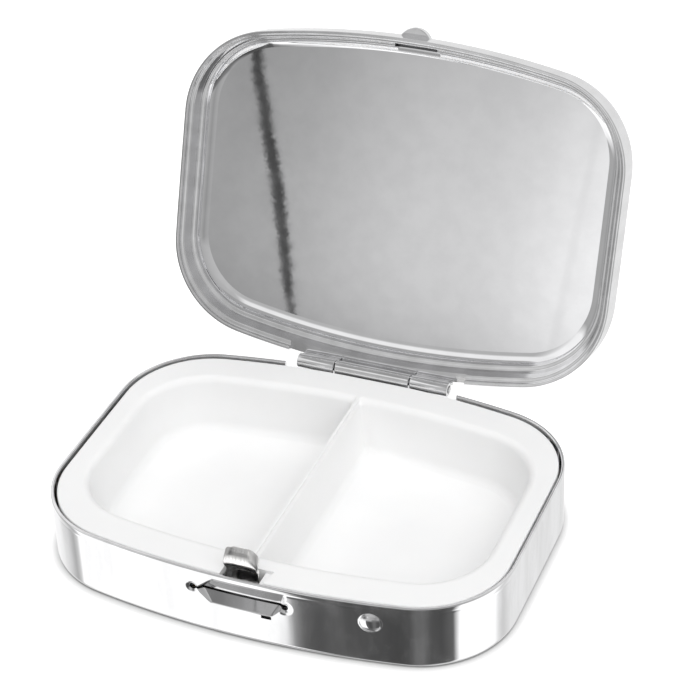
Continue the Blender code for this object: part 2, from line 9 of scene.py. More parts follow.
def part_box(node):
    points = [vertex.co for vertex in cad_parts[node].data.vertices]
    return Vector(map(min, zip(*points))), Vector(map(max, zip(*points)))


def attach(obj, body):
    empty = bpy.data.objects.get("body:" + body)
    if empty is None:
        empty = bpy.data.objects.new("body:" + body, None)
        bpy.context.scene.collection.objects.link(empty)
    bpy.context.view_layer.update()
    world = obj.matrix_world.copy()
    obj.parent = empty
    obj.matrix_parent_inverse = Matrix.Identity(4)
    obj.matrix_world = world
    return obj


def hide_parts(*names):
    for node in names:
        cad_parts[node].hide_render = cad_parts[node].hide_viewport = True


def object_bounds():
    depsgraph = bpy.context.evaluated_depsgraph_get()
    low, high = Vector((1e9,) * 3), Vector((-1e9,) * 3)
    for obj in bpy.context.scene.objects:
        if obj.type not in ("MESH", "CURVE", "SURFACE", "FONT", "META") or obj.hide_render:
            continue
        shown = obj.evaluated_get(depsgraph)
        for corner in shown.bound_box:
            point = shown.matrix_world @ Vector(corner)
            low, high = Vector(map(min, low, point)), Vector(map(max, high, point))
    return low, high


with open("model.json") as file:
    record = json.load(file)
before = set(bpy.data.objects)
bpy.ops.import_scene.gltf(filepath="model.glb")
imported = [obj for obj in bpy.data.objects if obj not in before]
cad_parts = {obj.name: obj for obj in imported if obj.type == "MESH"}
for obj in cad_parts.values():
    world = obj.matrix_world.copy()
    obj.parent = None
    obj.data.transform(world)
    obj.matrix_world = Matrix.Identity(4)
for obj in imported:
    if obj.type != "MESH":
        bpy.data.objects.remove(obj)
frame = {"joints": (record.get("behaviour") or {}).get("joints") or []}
cadLow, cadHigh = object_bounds()
mm = 0.001
joints = {joint["name"]: joint for joint in frame["joints"]}
hinge = Vector(joints["lid_hinge"]["pos_m"])
lidTurn = math.radians(joints["lid_hinge"]["range_deg"][0])  # from closed to the open rest
panLow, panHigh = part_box("base_pan")
trayLow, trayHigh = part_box("insert_tray")
catchLow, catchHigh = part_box("catch_spring")
pinLow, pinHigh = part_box("hinge_pin")

# the outline that the pan, the lid and all that sits in them share
outline = {
    "width": panHigh.x - panLow.x,
    "depth": 41.0 * mm,
    "sideRadius": 106.5 * mm,
    "endRadius": 1500 * mm,
    "cornerRadius": 11.2 * mm,
    "cornerSteps": 28,
    "endSteps": 8,
    "sideSteps": 20,
}
sheet = 0.4 * mm  # pressed sheet of pan and lid
seatGap = 0.3 * mm  # between pieces that touch on the real box
rimRise = 0.2 * mm  # the pan's rim stands a little over the tray
cutReach = 3 * mm  # cutters stand this far out
leastBend = math.radians(8)  # gentler bends of a section stay as they are
mostOfRun = 0.48  # a rounded corner takes no more of the straight run beside it
rimZ = trayHigh.z + rimRise
hemZ = rimZ + seatGap  # the closed lid's hem
frontY = -outline["depth"] / 2
backY = outline["depth"] / 2


def arcPoints(centre, radius, start, end, steps):
    turns = [start + (end - start) * step / steps for step in range(steps + 1)]
    across, up = centre
    return [(across + radius * math.cos(turn), up + radius * math.sin(turn)) for turn in turns]


def arcCentres(width, depth, cornerRadius):  # of the side, the end and the corner between them
    side = Vector((0, depth / 2 - outline["sideRadius"]))
    end = Vector((width / 2 - outline["endRadius"], 0))
    sideReach = outline["sideRadius"] - cornerRadius
    endReach = outline["endRadius"] - cornerRadius
    between = end - side
    along = (sideReach**2 - endReach**2 + between.length_squared) / (2 * between.length)
    across = math.sqrt(sideReach**2 - along**2)
    step = between.normalized()
    return side, end, side + step * along + Vector((step.y, -step.x)) * across


def quarterOutline(width, depth, cornerRadius, inset, sideSteps, lastTurn=math.pi / 2):
    side, end, corner = arcCentres(width, depth, cornerRadius)
    endTurn = math.atan2((corner - end).y, (corner - end).x)
    sideTurn = math.atan2((corner - side).y, (corner - side).x)
    points = arcPoints(end, outline["endRadius"] - inset, 0, endTurn, outline["endSteps"])[:-1]
    points += arcPoints(corner, cornerRadius - inset, endTurn, sideTurn, outline["cornerSteps"])[:-1]
    points += arcPoints(side, outline["sideRadius"] - inset, sideTurn, lastTurn, sideSteps)
    return points


def wholeOutline(inset, z, shift=0.0, size=None, frontSteps=None):
    if size is None:
        size = (outline["width"], outline["depth"], outline["cornerRadius"])
    width, depth, cornerRadius = size
    back = quarterOutline(width, depth, cornerRadius, inset, outline["sideSteps"])
    front = quarterOutline(width, depth, cornerRadius, inset, frontSteps or outline["sideSteps"])
    ring = back + [(-x, y) for x, y in reversed(back[:-1])]
    ring += [(-x, -y) for x, y in front[1:]] + [(x, -y) for x, y in reversed(front[1:-1])]
    return [Vector((x, y + shift, z)) for x, y in ring]


def offsetPath(path, distance):  # moves a path to its left, with mitred corners
    points = [Vector(point) for point in path]
    runs = [(b - a).normalized() for a, b in zip(points, points[1:])]
    moved = []
    for point, before, after in zip(points, runs[:1] + runs, runs + runs[-1:]):
        mitre = (before + after).normalized()
        moved.append(point + Vector((-mitre.y, mitre.x)) * distance / mitre.dot(before))
    return moved


def softenPath(path, radius, steps):  # rounds the corners of a path, as a press tool does
    points = [Vector(point) for point in path]
    soft = [points[0]]
    for before, point, after in zip(points, points[1:], points[2:]):
        toward, away = (before - point), (after - point)
        turn = math.pi - toward.angle(away)
        if turn < leastBend:
            soft.append(point)
            continue
        room = min(toward.length * mostOfRun, away.length * mostOfRun)
        reach = min(radius * math.tan(turn / 2), room)
        start = point + toward.normalized() * reach
        end = point + away.normalized() * reach
        for step in range(steps + 1):
            share = step / steps
            soft.append(start * (1 - share) ** 2 + point * 2 * share * (1 - share) + end * share**2)
    soft.append(points[-1])
    return soft


# mesh helpers

sharpAngle = 40  # degrees: edges that turn more stay sharp
weldReach = 0.0001 * mm
sliverReach = 0.0004 * mm  # cuts leave edges shorter than this, which are taken out


def extrudeRings(name, rings, closed=False):  # pulls one outline through all the others
    bm = bmesh.new()
    place = bm.verts.layers.int.new("place")
    loop = [bm.verts.new(point) for point in rings[0]]
    for index, vert in enumerate(loop):
        vert[place] = index
    edges = [bm.edges.new((a, b)) for a, b in zip(loop, loop[1:] + loop[:1])]
    firstEdges = edges
    for ring in rings[1:] + (rings[:1] if closed else []):
        pulled = bmesh.ops.extrude_edge_only(bm, edges=edges)["geom"]
        for vert in [item for item in pulled if isinstance(item, bmesh.types.BMVert)]:
            vert.co = ring[vert[place]]
        edges = [item for item in pulled if isinstance(item, bmesh.types.BMEdge)]
    if closed:
        bmesh.ops.remove_doubles(bm, verts=bm.verts, dist=weldReach)
    else:
        bmesh.ops.edgeloop_fill(bm, edges=firstEdges)
        bmesh.ops.edgeloop_fill(bm, edges=edges)
    bmesh.ops.recalc_face_normals(bm, faces=bm.faces)
    return makeObject(name, bm)


def makeObject(name, bm):
    mesh = bpy.data.meshes.new(name)
    bm.to_mesh(mesh)
    bm.free()
    mesh.shade_smooth()
    mesh.set_sharp_from_angle(angle=math.radians(sharpAngle))
    made = bpy.data.objects.new(name, mesh)
    bpy.context.scene.collection.objects.link(made)
    return made


def boxAt(name, low, high):
    bm = bmesh.new()
    bmesh.ops.create_cube(bm, size=1)
    bmesh.ops.scale(bm, vec=high - low, verts=bm.verts)
    bmesh.ops.translate(bm, vec=(low + high) / 2, verts=bm.verts)
    return makeObject(name, bm)


def rodAt(name, centre, radius, length, segments=48, rounding=0.0):  # a round bar along X
    bm = bmesh.new()
    bmesh.ops.create_cone(
        bm, cap_ends=True, segments=segments, radius1=radius, radius2=radius, depth=length
    )
    if rounding:
        level = 0.01 * length  # the edges of the two ends lie level, and the others run from end to end
        rims = [edge for edge in bm.edges if abs(edge.verts[0].co.z - edge.verts[1].co.z) < level]
        bmesh.ops.bevel(
            bm, geom=rims, offset=rounding, segments=3, profile=0.5, affect="EDGES", material=-1
        )
    bmesh.ops.rotate(bm, matrix=Matrix.Rotation(math.pi / 2, 3, "Y"), verts=bm.verts)
    bmesh.ops.translate(bm, vec=centre, verts=bm.verts)
    return makeObject(name, bm)


def finishedMesh(obj):  # the mesh with its modifiers applied
    graph = bpy.context.evaluated_depsgraph_get()
    shaped = obj.evaluated_get(graph)
    return bpy.data.meshes.new_from_object(shaped, preserve_all_data_layers=True, depsgraph=graph)


def bakeModifiers(obj, sharp=sharpAngle):
    mesh = finishedMesh(obj)
    obj.modifiers.clear()
    bm = bmesh.new()
    bm.from_mesh(mesh)
    bmesh.ops.dissolve_degenerate(bm, edges=bm.edges, dist=sliverReach)
    bm.to_mesh(mesh)
    bm.free()
    obj.data = mesh
    mesh.shade_smooth()
    mesh.set_sharp_from_angle(angle=math.radians(sharp))


def shapeWith(target, tools, operation):  # cuts or joins tools, and keeps only the result
    for tool in tools:
        modifier = target.modifiers.new("shape", "BOOLEAN")
        modifier.operation = operation
        modifier.object = tool
        # a tool that carries a material passes it to the faces it cuts; this is how the painted shade of
        # the slit and holes gets onto them
        modifier.material_mode = "TRANSFER" if any(tool.data.materials) else "INDEX"
        bakeModifiers(target)
        bpy.data.objects.remove(tool)


def weightNormals(obj):  # lets broad flat faces keep their flat look beside small roundings
    modifier = obj.modifiers.new("weights", "WEIGHTED_NORMAL")
    modifier.keep_sharp = True
    modifier.weight = 50
    obj.data = finishedMesh(obj)
    obj.modifiers.clear()


def keepPlaces(obj):  # each point keeps its place in the closed box, which the lines of the sheet follow
    places = obj.data.attributes.new("closedPlace", "FLOAT_VECTOR", "POINT")
    places.data.foreach_set("vector", [part for vert in obj.data.vertices for part in vert.co])


def openLid(obj):  # the lid is modelled closed and turned to its open rest
    bm = bmesh.new()
    bm.from_mesh(obj.data)
    bmesh.ops.rotate(bm, cent=hinge, matrix=Matrix.Rotation(lidTurn, 3, "X"), verts=bm.verts)
    bm.to_mesh(obj.data)
    bm.free()


def dress(obj, node, body, finish):
    if not any(obj.data.materials):
        obj.data.materials.clear()
        obj.data.materials.append(finish)
    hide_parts(node)
    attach(obj, body)


# finishes

noiseSpan = (0.35, 0.65)  # where most values of a noise lie


def newFinish(name, attribute=None):  # patterns follow the Object coordinates, or else an attribute
    finish = bpy.data.materials.new(name)
    finish.use_nodes = True
    tree = finish.node_tree
    if attribute:
        places = tree.nodes.new("ShaderNodeAttribute")
        places.attribute_name = attribute
        coords = places.outputs["Vector"]
    else:
        coords = tree.nodes.new("ShaderNodeTexCoord").outputs["Object"]
    return finish, tree, tree.nodes["Principled BSDF"], coords


def feed(tree, socket, value):  # links another node's output, or sets a number or a colour
    if isinstance(value, bpy.types.NodeSocket):
        tree.links.new(value, socket)
    elif socket.type != "RGBA":
        socket.default_value = value
    elif isinstance(value, (int, float)):
        socket.default_value = (value, value, value, 1)
    else:
        socket.default_value = (*value, 1)


def noise(tree, coords, scale, detail):  # three scales stretch it along x, y and z
    if isinstance(scale, tuple):
        mapping = tree.nodes.new("ShaderNodeMapping")
        mapping.inputs["Scale"].default_value = scale
        tree.links.new(coords, mapping.inputs["Vector"])
        coords, scale = mapping.outputs["Vector"], 1
    node = tree.nodes.new("ShaderNodeTexNoise")
    node.inputs["Scale"].default_value = scale
    node.inputs["Detail"].default_value = detail
    tree.links.new(coords, node.inputs["Vector"])
    return node.outputs["Fac"]


def remap(tree, value, low, high, span=noiseSpan):  # takes the ends of the span to low and high
    node = tree.nodes.new("ShaderNodeMapRange")
    for name, number in zip(("From Min", "From Max", "To Min", "To Max"), (*span, low, high)):
        node.inputs[name].default_value = number
    tree.links.new(value, node.inputs["Value"])
    return node.outputs["Result"]


def addMath(tree, operation, *values):
    node = tree.nodes.new("ShaderNodeMath")
    node.operation = operation
    for socket, value in zip(node.inputs, values):
        feed(tree, socket, value)
    return node.outputs["Value"]


def mixColours(tree, factor, first, second, blend="MIX"):
    node = tree.nodes.new("ShaderNodeMix")
    node.data_type = "RGBA"
    node.blend_type = blend
    for name, value in (("Factor", factor), ("A", first), ("B", second)):
        feed(tree, node.inputs[name], value)
    return node.outputs["Result"]


def addRamp(tree, value, stops):  # greys at places along the value
    node = tree.nodes.new("ShaderNodeValToRGB")
    elements = node.color_ramp.elements
    elements.remove(elements[-1])
    low, high = stops[0][0], stops[-1][0]
    for index, (place, shade) in enumerate(stops):
        place = (place - low) / (high - low)
        element = elements[0] if index == 0 else elements.new(place)
        element.position = place
        element.color = (shade, shade, shade, 1)
    tree.links.new(remap(tree, value, 0, 1, (low, high)), node.inputs["Fac"])
    return node.outputs["Color"]


def bump(tree, height, depth, normal=None):
    node = tree.nodes.new("ShaderNodeBump")
    node.inputs["Distance"].default_value = depth
    tree.links.new(height, node.inputs["Height"])
    if normal:
        tree.links.new(normal, node.inputs["Normal"])
    return node.outputs["Normal"]


def coat(tree, shader, look, toneNoise, roughNoise):  # varies the colour and the roughness
    colour = mixColours(tree, remap(tree, toneNoise, 0, 1), *look["tones"])
    tree.links.new(colour, shader.inputs["Base Color"])
    tree.links.new(remap(tree, roughNoise, *look["roughness"]), shader.inputs["Roughness"])


# each noise of a finish is its scale and its detail
chrome = {
    "tones": ((0.86, 0.86, 0.87), (0.76, 0.76, 0.765)),
    "roughness": (0.03, 0.075),
    "haze": ((420, 420, 90), 3),  # upright clouds of about 2 mm
    "waves": (110, 1),  # slow waves left by the press, about 9 mm long
    "waveDepth": 0.006 * mm,
    "wrinkles": ((620, 620, 160), 1),  # upright wrinkles from drawing the corners
    "wrinkleDepth": 0.0014 * mm,
    "lines": ((60, 60, 2600), 2),  # fine drawing lines round the wall
    "lineDepth": 0.00025 * mm,
    "bloom": ((380, 380, 210), 3),  # pale bloom in the plating
    "bloomSpan": (0.45, 0.75),
    "specks": (5200, 2),
    "speckShare": (0.4, 1),
    "metal": (1.0, 0.9),  # where the plating is clear and where it has bloomed
}


def chromeFinish():
    finish, tree, shader, coords = newFinish("chromedSteel", "closedPlace")
    haze, waves, wrinkles, lines, bloom, specks = [
        noise(tree, coords, *chrome[name])
        for name in ("haze", "waves", "wrinkles", "lines", "bloom", "specks")
    ]
    coat(tree, shader, chrome, haze, haze)
    bloomed = remap(tree, bloom, 0, 1, chrome["bloomSpan"])
    bloomed = addMath(tree, "MULTIPLY", bloomed, remap(tree, specks, *chrome["speckShare"]))
    tree.links.new(remap(tree, bloomed, *chrome["metal"], (0, 1)), shader.inputs["Metallic"])
    normal = bump(tree, waves, chrome["waveDepth"])
    normal = bump(tree, wrinkles, chrome["wrinkleDepth"], normal)
    tree.links.new(bump(tree, lines, chrome["lineDepth"], normal), shader.inputs["Normal"])
    return finish


# painted shade: the dark metal colour given to the faces cut through the sheet, for the shade inside the
# slit, the keyhole and the catch slot
paintedSlitShade = {
    "tones": ((0.15, 0.15, 0.155), (0.24, 0.24, 0.248)),
    "roughness": (0.45, 0.6),
    "scale": ((60, 60, 2600), 2),
}


def paintedSlitShadeFinish():  # painted shade: dark metal on the faces cut through the sheet, standing for the shade inside the narrow slit and the holes
    finish, tree, shader, coords = newFinish("paintedSlitShade")
    scale = noise(tree, coords, *paintedSlitShade["scale"])
    coat(tree, shader, paintedSlitShade, scale, scale)
    shader.inputs["Metallic"].default_value = 1
    return finish


polish = {
    "tones": ((0.92, 0.92, 0.93), (0.88, 0.88, 0.89)),
    "roughness": (0.014, 0.024),
    "haze": (420, 3),
    "waves": (45, 1),
    "waveDepth": 0.003 * mm,
    "grain": (3000, 2),
    "grainDepth": 0.00008 * mm,
}


def linerFinish():
    finish, tree, shader, coords = newFinish("polishedLiner")
    haze, waves, grain = [noise(tree, coords, *polish[name]) for name in ("haze", "waves", "grain")]
    coat(tree, shader, polish, haze, haze)
    normal = bump(tree, waves, polish["waveDepth"])
    tree.links.new(bump(tree, grain, polish["grainDepth"], normal), shader.inputs["Normal"])
    shader.inputs["Metallic"].default_value = 1
    return finish


def steelFinish(name, steel):  # brushed: the lines run along the axes with the low scales
    finish, tree, shader, coords = newFinish(name)
    lines = noise(tree, coords, *steel["lines"])
    coat(tree, shader, steel, lines, lines)
    tree.links.new(bump(tree, lines, steel["lineDepth"]), shader.inputs["Normal"])
    shader.inputs["Metallic"].default_value = 1
    return finish


plastic = {
    "tones": ((0.92, 0.92, 0.918), (0.905, 0.905, 0.905)),
    "roughness": (0.30, 0.42),
    "clouds": (140, 2),
    "mould": (2600, 3),  # the faint grain of the mould
    "mouldDepth": 0.0012 * mm,
    "glow": 0.15,  # how much light passes into it
    "glowColour": (1.0, 0.95, 0.9),
    "glowReach": 0.8 * mm,
    "shine": 0.4,
}


def plasticFinish():
    finish, tree, shader, coords = newFinish("whitePlastic")
    clouds, mould = [noise(tree, coords, *plastic[name]) for name in ("clouds", "mould")]
    coat(tree, shader, plastic, clouds, mould)
    tree.links.new(bump(tree, mould, plastic["mouldDepth"]), shader.inputs["Normal"])
    shader.inputs["Subsurface Weight"].default_value = plastic["glow"]
    shader.inputs["Subsurface Radius"].default_value = plastic["glowColour"]
    shader.inputs["Subsurface Scale"].default_value = plastic["glowReach"]
    shader.inputs["Specular IOR Level"].default_value = plastic["shine"]
    return finish


# base pan

pan = {
    "footRound": 0.6 * mm,
    "footSteps": 7,
    "footGap": 0.05 * mm,  # keeps the foot's rounding out of the flat wall
    "rimRound": 0.17 * mm,
    "rimSteps": 4,
    "rollDrop": 0.75 * mm,  # a fine groove under the rolled rim
    "rollGroove": 0.16 * mm,
    "rollDepth": 0.02 * mm,
    "denseFrom": 3.4 * mm,  # the wall has fine steps above this, for its pressed forms
    "denseStep": 0.1 * mm,
    "frontSteps": 150,
    "slitZ": 5.85 * mm,
    "slitLength": 11.0 * mm,
    "slitHeight": 0.34 * mm,
    "holeRadius": 0.4 * mm,
    "holeSteps": 32,
    "holeLip": 0.6 * mm,  # the turned-in lip round each relief hole
    "holeLipDepth": 0.16 * mm,
    "dentDepth": 0.6 * mm,
    "dentTop": (-2.9 * mm, 5.7 * mm, 7.75 * mm),  # left end, right end, height
    "dentSlit": (-5.1 * mm, 5.5 * mm, 5.85 * mm),
    "dentBottom": (-3.225 * mm, 3.925 * mm, 4.2 * mm),
    "sideSlope": 1.0,  # of the dent's two ends
    "crease": 0.05 * mm,
    "keyhole": (3.3 * mm, 3.97 * mm),  # its middle, along the wall and up
    "keyholeSize": (1.2 * mm, 0.42 * mm),
    "studX": 15.2 * mm,  # one round stud, to the right of the catch
    "studZ": 5.8 * mm,
    "studRadius": 1.25 * mm,
    "studHeight": 0.4 * mm,
    "studFullness": 0.7,
    "windowHalf": 11.2 * mm,  # half of the opening for the hinge
    "centreKnuckle": 9.6 * mm,
    "knuckleRadius": 0.9 * mm,
    "knuckleSegments": 64,
    "strapShare": 0.8,  # a strap starts at this share of the knuckle's radius
    "bore": 0.5 * mm,
    "knuckleRound": 0.1 * mm,
}


def smoothLow(first, second, width):  # the lower of two, with a soft crease between
    share = min(max(0.5 + 0.5 * (second - first) / width, 0), 1)
    return second * (1 - share) + first * share - width * share * (1 - share)


def pressedDepth(x, z):  # how far the front wall is pressed in
    far = pan["dentTop"] if z >= pan["slitZ"] else pan["dentBottom"]
    near = pan["dentSlit"]
    reach = (far[2] - z) / (far[2] - near[2])
    left, right = (start + (end - start) * reach for start, end in zip(far[:2], near[:2]))
    side = pan["sideSlope"] * min(x - left, right - x)
    facet = smoothLow(pan["dentDepth"] * reach, side, pan["crease"] * 2)
    depth = max(facet, 0) if facet > pan["crease"] else -smoothLow(-facet, 0, pan["crease"])
    fromHole = math.hypot(abs(x) - pan["slitLength"] / 2, z - pan["slitZ"]) - pan["holeRadius"]
    if fromHole < pan["holeLip"]:
        depth = max(depth, pan["holeLipDepth"] * (1 - max(fromHole, 0) / pan["holeLip"]) ** 2)
    fromStud = math.hypot(x - pan["studX"], z - pan["studZ"]) / pan["studRadius"]
    if fromStud < 1:
        depth = -pan["studHeight"] * (1 - fromStud**2) ** pan["studFullness"]
    return depth


def makePan(finish, slitShadeFinish):
    footCentre = (pan["footRound"], pan["footRound"])
    foot = arcPoints(footCentre, pan["footRound"], -math.pi / 2, -math.pi, pan["footSteps"])
    count = round((rimZ - pan["rimRound"] - pan["denseFrom"]) / pan["denseStep"])
    wall = [(0.0, pan["footRound"] + pan["footGap"])]
    for step in range(count):
        z = pan["denseFrom"] + pan["denseStep"] * step
        groove = max(1 - abs(rimZ - pan["rollDrop"] - z) / pan["rollGroove"], 0)
        wall.append((pan["rollDepth"] * groove, z))
    rimMiddle = rimZ - pan["rimRound"]
    rimCentres = ((pan["rimRound"], rimMiddle), (sheet - pan["rimRound"], rimMiddle))
    rim = arcPoints(rimCentres[0], pan["rimRound"], math.pi, math.pi / 2, pan["rimSteps"])
    rim += arcPoints(rimCentres[1], pan["rimRound"], math.pi / 2, 0, pan["rimSteps"])
    wallIn = [(sheet, z) for inset, z in reversed(wall)]
    footIn = [(point.x, point.y) for point in reversed(offsetPath([*foot, wall[0]], -sheet)[:-1])]
    rings = [
        wholeOutline(inset, z, frontSteps=pan["frontSteps"])
        for inset, z in [*foot, *wall, *rim, *wallIn, *footIn]
    ]
    body = extrudeRings("basePan", rings)
    body.data.materials.append(finish)
    for vert in body.data.vertices:
        if vert.co.y < frontY / 2 and pan["denseFrom"] < vert.co.z < rimMiddle:
            vert.co.y += pressedDepth(vert.co.x, vert.co.z)
    centre = Vector((pan["keyhole"][0], frontY, pan["keyhole"][1]))
    size = Vector((pan["keyholeSize"][0] / 2, cutReach, pan["keyholeSize"][1] / 2))
    cutters = [slitCutter(), boxAt("keyhole", centre - size, centre + size)]
    # the faces cut for the slit and the keyhole take the dark painted shade
    for cutter in cutters:
        cutter.data.materials.append(slitShadeFinish)
    sill = hinge.z - pan["knuckleRadius"] - seatGap
    low = Vector((-pan["windowHalf"], backY - cutReach, sill))
    cutters.append(boxAt("window", low, Vector((pan["windowHalf"], backY + cutReach, rimZ + cutReach))))
    shapeWith(body, cutters, "DIFFERENCE")
    half = pan["centreKnuckle"] / 2
    low = Vector((-half, backY - sheet, sill - sheet))
    high = Vector((half, backY, hinge.z - pan["knuckleRadius"] * pan["strapShare"]))
    strip = boxAt("strip", low, high)
    shapeWith(body, [strip, knuckle(-half, half)], "UNION")
    weightNormals(body)
    keepPlaces(body)
    dress(body, "base_pan", "base", finish)
    print("pan done")


def slitCutter():  # the slit and the round relief hole at each of its ends, as one shape
    neck = math.asin(pan["slitHeight"] / 2 / pan["holeRadius"])
    ends = []
    for x, start, end in (
        (pan["slitLength"] / 2, neck - math.pi, math.pi - neck),
        (-pan["slitLength"] / 2, neck, 2 * math.pi - neck),
    ):
        ends += arcPoints((x, pan["slitZ"]), pan["holeRadius"], start, end, pan["holeSteps"])
    rings = [[Vector((x, y, z)) for x, z in ends] for y in (frontY - cutReach, frontY + cutReach)]
    return extrudeRings("slit", rings)


def knuckle(start, end):
    middle = Vector(((start + end) / 2, hinge.y, hinge.z))
    length = end - start
    rounding = pan["knuckleRound"]
    tube = rodAt("knuckle", middle, pan["knuckleRadius"], length, pan["knuckleSegments"], rounding)
    shapeWith(tube, [rodAt("bore", middle, pan["bore"], length + mm)], "DIFFERENCE")
    return tube


# hinge pin

pin = {
    "rounding": 0.08 * mm,
    "segments": 40,
    "tones": ((0.78, 0.78, 0.78), (0.62, 0.62, 0.62)),
    "roughness": (0.12, 0.25),
    "lines": ((200, 3000, 3000), 3),
    "lineDepth": 0.0005 * mm,
}


def makePin(finish):
    middle = (pinLow + pinHigh) / 2
    size = pinHigh - pinLow
    body = rodAt("hingePin", middle, size.z / 2, size.x, pin["segments"], pin["rounding"])
    dress(body, "hinge_pin", "base", finish)
    print("pin done")


# insert tray

tray = {
    "field": (48.6 * mm, 30.6 * mm, 8.0 * mm),  # width, depth and corner radius of the two pockets
    "wall": 0.8 * mm,
    "draft": 1.0 * mm,  # how far the walls lean out from floor to mouth
    "floorRound": 0.9 * mm,
    "mouthRound": 1.0 * mm,
    "edgeRound": 0.2 * mm,
    "edgeSteps": 4,
    "dividerHalf": 0.45 * mm,
    "dividerRound": 0.3 * mm,
    "dividerCorner": 0.5 * mm,
    "notchHalf": 2.3 * mm,
    "notchBack": -17.63 * mm,
    "notchSkirt": 1.6 * mm,
    "stepReach": 3.3 * mm,  # a low step beside the notch
    "stepTaper": 0.8 * mm,
    "stepDepth": 0.4 * mm,
    "roundSteps": 10,
}


def draftedWall(floor, top, floorRound):
    points = []
    for step in range(tray["roundSteps"] + 1):
        turn = math.pi / 2 * step / tray["roundSteps"]
        rise = floorRound * (1 - math.cos(turn))
        lean = tray["draft"] * (1 - rise / (top - floor))
        points.append((floorRound * (1 - math.sin(turn)) + lean, floor + rise))
    return points + [(0.0, top)]


def pocketOutline(inset, z, side):
    width, depth, cornerRadius = tray["field"]
    inner = tray["dividerHalf"] + max(inset, -tray["dividerRound"])
    lastTurn = math.acos((inner + tray["dividerCorner"]) / (outline["sideRadius"] - inset))
    back = quarterOutline(width, depth, cornerRadius, inset, outline["sideSteps"], lastTurn)
    corner = (back[-1][0], back[-1][1] - tray["dividerCorner"])
    back += arcPoints(corner, tray["dividerCorner"], math.pi / 2, math.pi, tray["roundSteps"])[1:]
    return [Vector((side * x, y, z)) for x, y in back + [(x, -y) for x, y in reversed(back[1:])]]


def makeTray(finish):
    top, bottom = trayHigh.z, trayLow.z
    edge = sheet + seatGap
    under = top - tray["wall"]
    tub = draftedWall(bottom, under, tray["floorRound"] + tray["wall"])
    rings = [wholeOutline(inset - tray["wall"], z, size=tray["field"]) for inset, z in tub]
    rings.append(wholeOutline(edge, under))
    lipCentre = (tray["edgeRound"], top - tray["edgeRound"])
    lip = arcPoints(lipCentre, tray["edgeRound"], math.pi, math.pi / 2, tray["edgeSteps"])
    rings += [wholeOutline(edge + inset, z) for inset, z in lip]
    body = extrudeRings("insertTray", rings)
    half = tray["notchHalf"] + tray["wall"]
    low = Vector((-half, tray["notchBack"] - seatGap, under - tray["notchSkirt"]))
    high = Vector((half, -(tray["field"][1] / 2 + tray["wall"] / 4), under + tray["wall"] / 2))
    shapeWith(body, [boxAt("notchWall", low, high)], "UNION")
    soft = tray["mouthRound"]
    pocket = draftedWall(bottom + tray["wall"], top - soft, tray["floorRound"])
    pocket += arcPoints((-soft, top - soft), soft, 0, math.pi / 2, tray["roundSteps"])[1:]
    pocket.append((-soft, top + mm))
    cutters = []
    for side in (-1, 1):
        cutters.append(extrudeRings("pocket", [pocketOutline(inset, z, side) for inset, z in pocket]))
    low = Vector((-tray["notchHalf"], frontY - mm, bottom))
    cutters.append(boxAt("notch", low, Vector((tray["notchHalf"], tray["notchBack"], top + mm))))
    wide, narrow = tray["stepReach"], tray["stepReach"] - tray["stepTaper"]
    front, back = frontY - mm, tray["notchBack"]
    corners = ((0, front), (narrow, front), (wide, back), (0, back))
    levels = (top - tray["stepDepth"], top + mm)
    cutters.append(extrudeRings("step", [[Vector((x, y, z)) for x, y in corners] for z in levels]))
    relief = hinge.y - pan["knuckleRadius"] - seatGap
    low = Vector((-pan["windowHalf"], relief, bottom))
    cutters.append(boxAt("relief", low, Vector((pan["windowHalf"], backY + mm, top + mm))))
    shapeWith(body, cutters, "DIFFERENCE")
    weightNormals(body)
    dress(body, "insert_tray", "base", finish)
    print("tray done")


# spring catch

catch = {
    "sheet": 0.35 * mm,
    "bend": 0.4 * mm,  # radius where the leg turns into the foot
    "bendSteps": 6,
    "nose": 0.28 * mm,  # the hook first bows forward by this
    "noseAt": 0.36,  # where it bows most, as a share of its height
    "lean": 0.26 * mm,  # how far its end leans back
    "hook": 2.9 * mm,
    "corner": 1.2 * mm,  # the rounded corners of its end
    "columns": 28,
    "hookSteps": 24,
    "edgeRound": 0.06 * mm,
    "sharpAngle": 60,
    "tones": ((0.95, 0.945, 0.94), (0.84, 0.83, 0.82)),
    "roughness": (0.08, 0.2),
    "lines": ((3600, 300, 300), 3),
    "lineDepth": 0.0001 * mm,
}


